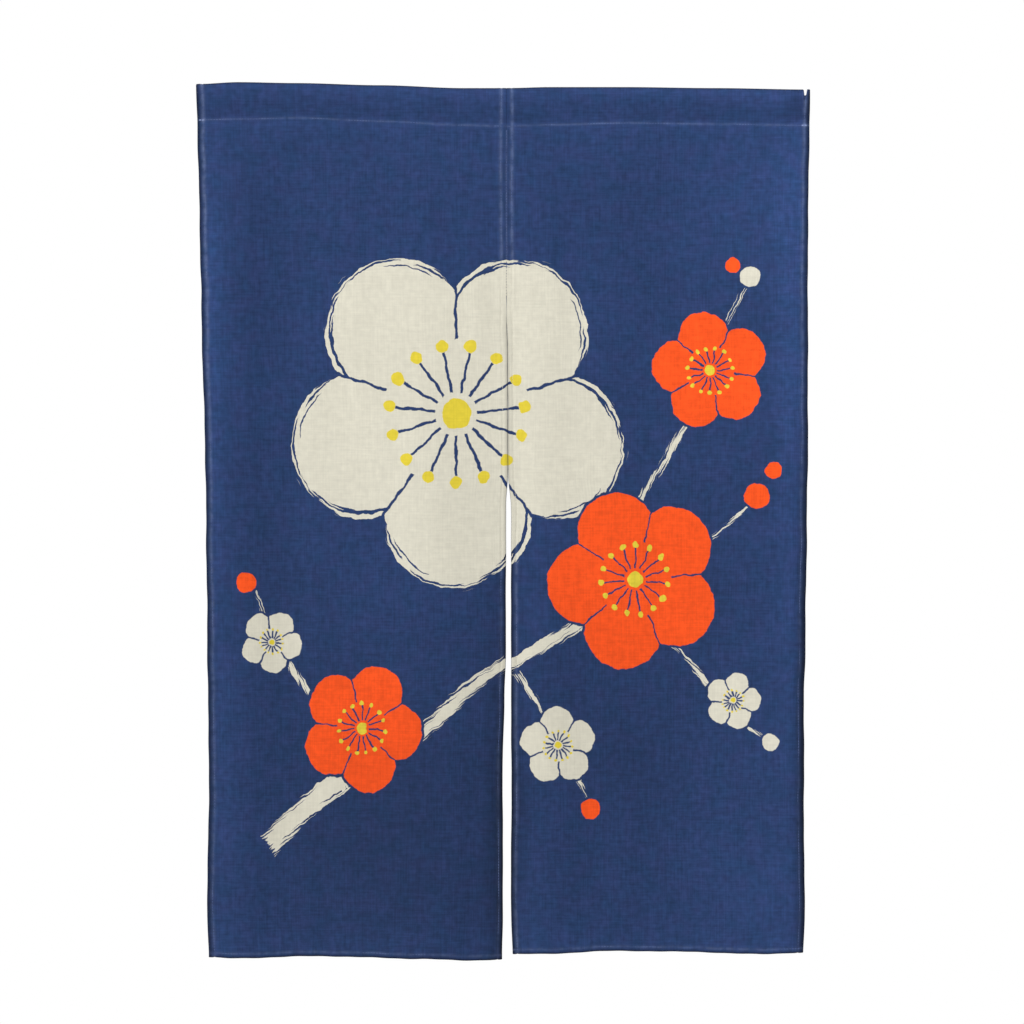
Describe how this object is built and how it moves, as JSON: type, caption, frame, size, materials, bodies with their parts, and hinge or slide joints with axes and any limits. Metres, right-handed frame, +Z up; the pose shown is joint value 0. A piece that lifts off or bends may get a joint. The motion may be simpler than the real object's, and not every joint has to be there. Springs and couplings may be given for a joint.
{
  "type": "noren curtain",
  "caption": "Split doorway curtain of hemmed navy cloth panels, joined at the top and open below, with a rod pocket along the top edge.",
  "frame": {"origin": "on the top edge of the rod pocket, where the panels meet, in the plane of the cloth's front face", "axes": "+Z up, +X to the right as seen from the front, and the printed front faces -Y"},
  "size_m": [0.8524, 0.0302, 1.2176],
  "materials": {
    "printed_cloth": "matt slubby plain weave, navy with a printed design",
    "thread": "pale blue sewing thread"
  },
  "bodies": {
    "root": {"panel_left": "printed_cloth", "panel_right": "printed_cloth", "rod_pocket_left": "printed_cloth", "rod_pocket_right": "printed_cloth"}
  },
  "joints": []
}
